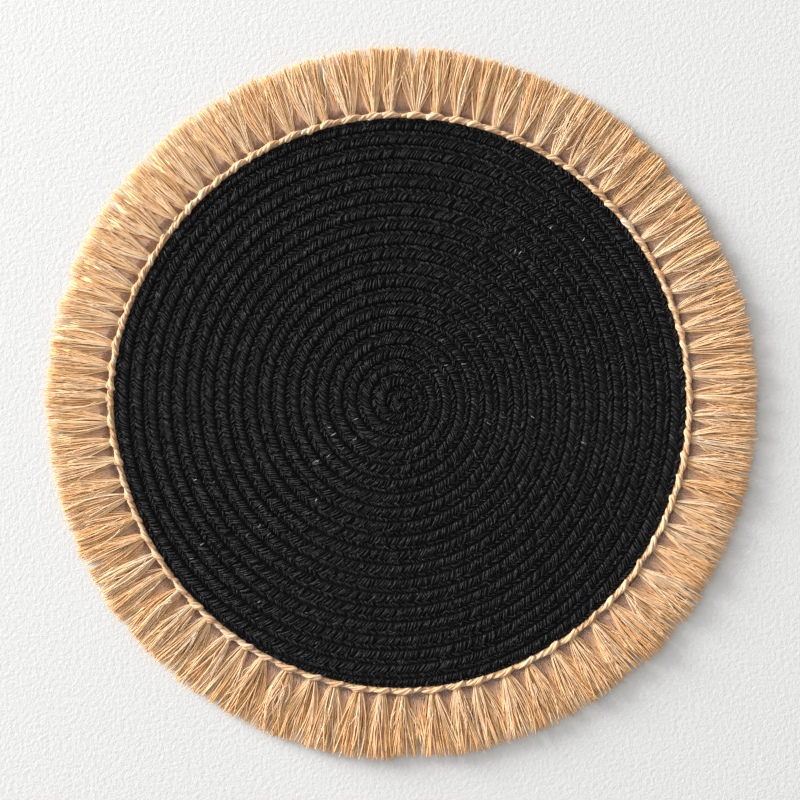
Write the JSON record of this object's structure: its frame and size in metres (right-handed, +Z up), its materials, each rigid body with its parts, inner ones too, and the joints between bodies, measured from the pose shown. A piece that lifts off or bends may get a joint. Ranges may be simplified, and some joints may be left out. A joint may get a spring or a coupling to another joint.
{
  "type": "round fringed placemat",
  "caption": "Round table mat of black braided paper cord coiled flat and sewn, edged with a natural chain-stitched trim and a full ring of cut tassels.",
  "frame": {"origin": "on the surface the mat lies on, below the middle of its coil", "axes": "+Z up out of the mat's face, +X to the right and +Y to the top of the mat as it is seen from above"},
  "size_m": [0.3808, 0.3805, 0.004],
  "materials": {
    "black_braid": "matt braided paper cord with a faint sheen on its strands",
    "natural_yarn": "natural straw-coloured paper yarn, slightly glossy along its fibres"
  },
  "bodies": {
    "root": {"coiled_mat": "black_braid", "fringe_trim": "natural_yarn"}
  },
  "joints": []
}
